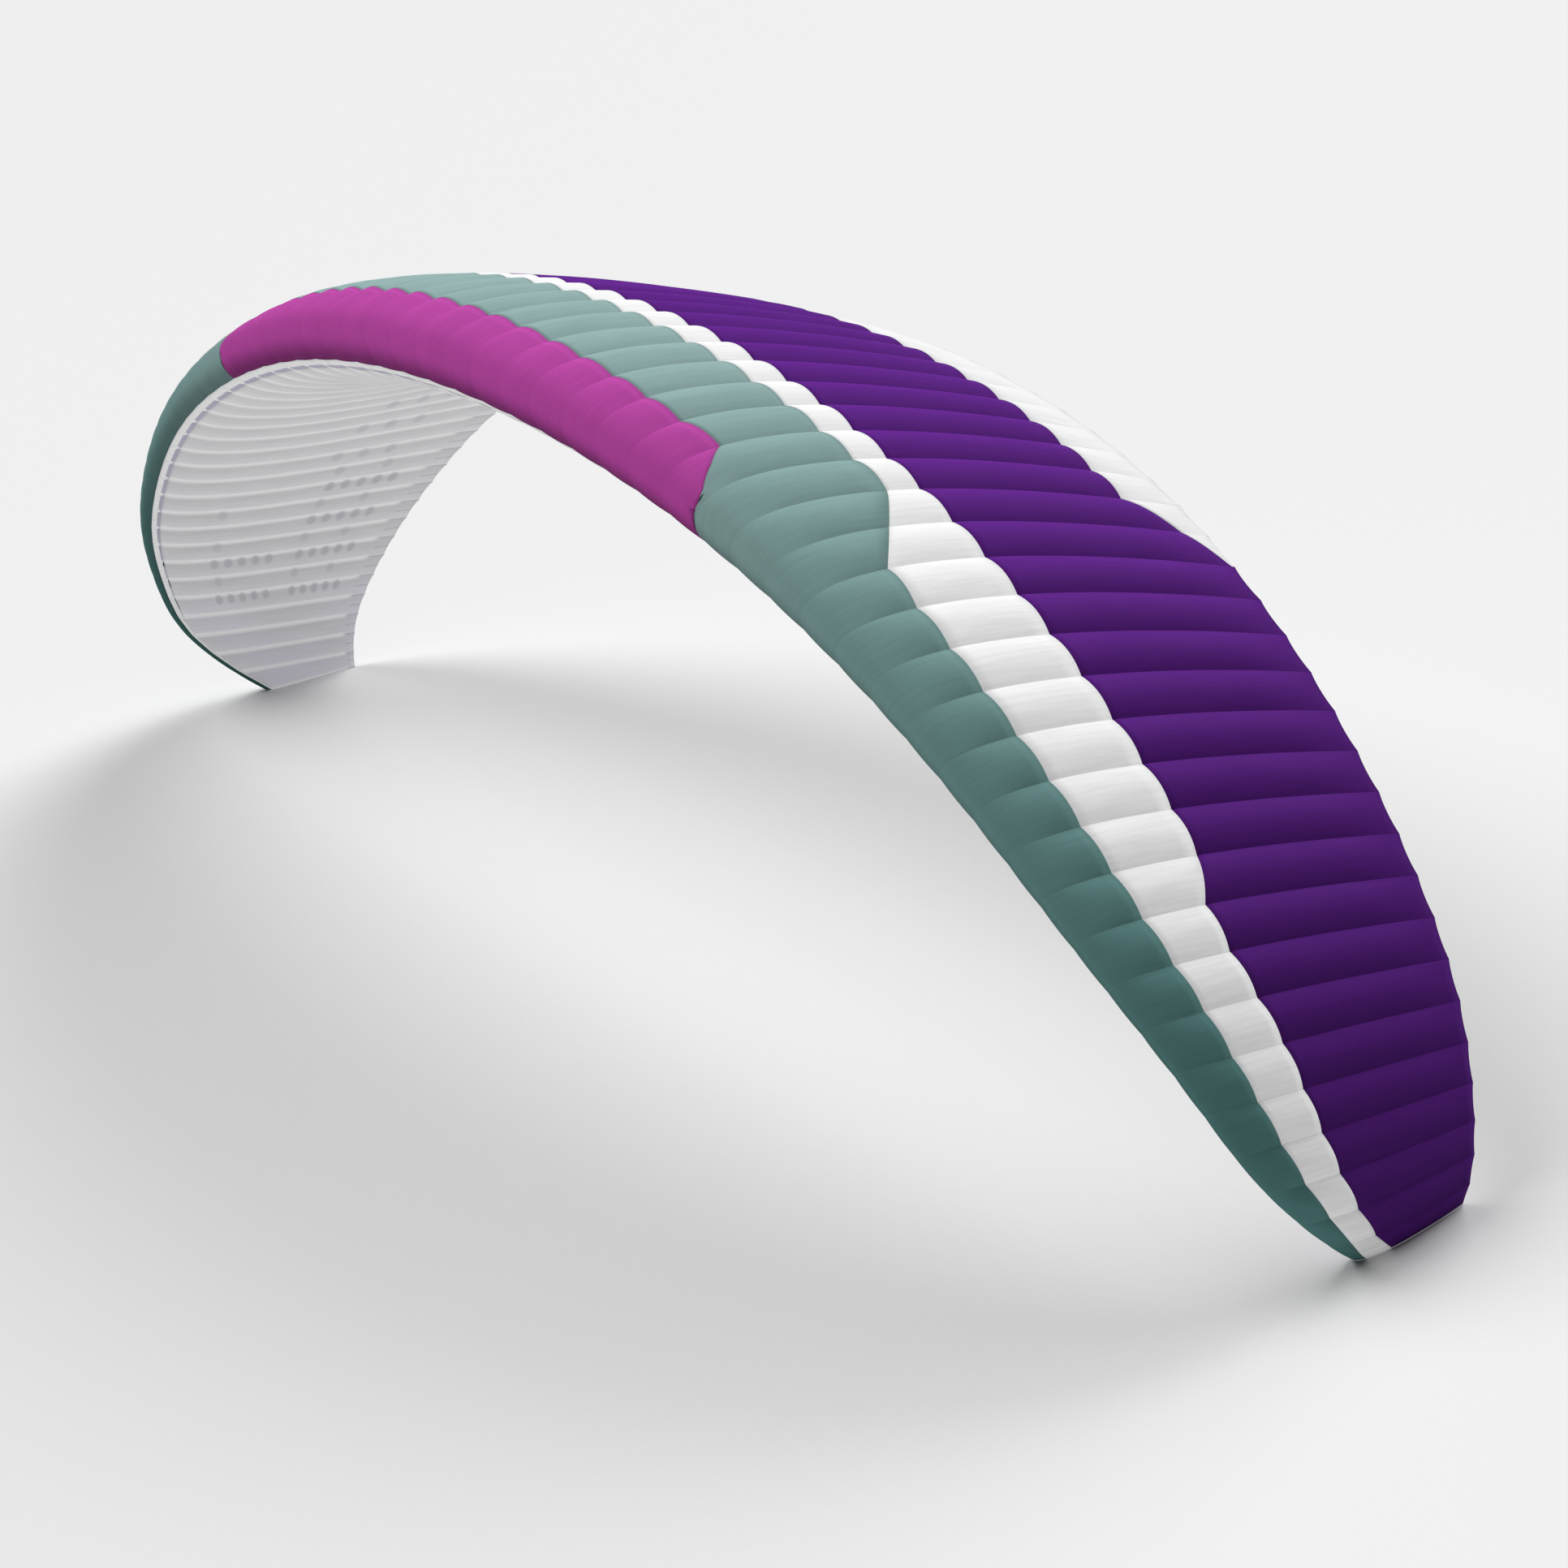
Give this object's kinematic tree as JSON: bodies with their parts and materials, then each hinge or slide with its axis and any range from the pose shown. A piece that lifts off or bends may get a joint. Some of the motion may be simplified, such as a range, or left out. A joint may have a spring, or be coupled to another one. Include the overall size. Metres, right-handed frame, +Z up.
{
  "type": "paraglider wing",
  "caption": "Arched ram-air paraglider wing of sewn cloth cells, with a coloured leading edge, air intakes behind the nose and a pale sheer underside.",
  "frame": {"origin": "on the floor, under the middle of the wing's bounding box", "axes": "X runs along the span, the leading edge faces -Y, the trailing edge +Y, and +Z is up"},
  "size_m": [9.633, 2.2934, 2.9743],
  "materials": {
    "magenta_cloth": "satin coated ripstop cloth",
    "teal_cloth": "satin coated ripstop cloth",
    "white_cloth": "satin coated ripstop cloth",
    "purple_cloth": "satin coated ripstop cloth",
    "underside_cloth": "sheer uncoated ripstop cloth"
  },
  "bodies": {
    "root": {"band_teal_1": "teal_cloth", "band_teal_2": "teal_cloth", "band_teal_3": "teal_cloth", "band_teal_4": "teal_cloth", "band_teal_5": "teal_cloth", "band_teal_6": "teal_cloth", "band_teal_7": "teal_cloth", "band_teal_8": "teal_cloth", "band_teal_9": "teal_cloth", "band_white_1": "white_cloth", "band_white_2": "white_cloth", "band_white_3": "white_cloth", "band_white_4": "white_cloth", "band_white_5": "white_cloth", "band_white_6": "white_cloth", "band_white_7": "white_cloth", "band_white_8": "white_cloth", "band_white_9": "white_cloth", "front_magenta_1": "magenta_cloth", "front_magenta_2": "magenta_cloth", "front_magenta_3": "magenta_cloth", "nose_strip": "white_cloth", "rear_white_1": "white_cloth", "rear_white_2": "white_cloth", "rear_white_3": "white_cloth", "rear_white_4": "white_cloth", "rear_white_5": "white_cloth", "tip_rib_left": "underside_cloth", "tip_rib_right": "underside_cloth", "top_purple_1": "purple_cloth", "top_purple_10": "purple_cloth", "top_purple_11": "purple_cloth", "top_purple_12": "purple_cloth", "top_purple_13": "purple_cloth", "top_purple_2": "purple_cloth", "top_purple_3": "purple_cloth", "top_purple_4": "purple_cloth", "top_purple_5": "purple_cloth", "top_purple_6": "purple_cloth", "top_purple_7": "purple_cloth", "top_purple_8": "purple_cloth", "top_purple_9": "purple_cloth", "under_grey_1": "underside_cloth", "under_grey_10": "underside_cloth", "under_grey_11": "underside_cloth", "under_grey_12": "underside_cloth", "under_grey_13": "underside_cloth", "under_grey_2": "underside_cloth", "under_grey_3": "underside_cloth", "under_grey_4": "underside_cloth", "under_grey_5": "underside_cloth", "under_grey_6": "underside_cloth", "under_grey_7": "underside_cloth", "under_grey_8": "underside_cloth", "under_grey_9": "underside_cloth"}
  },
  "joints": []
}
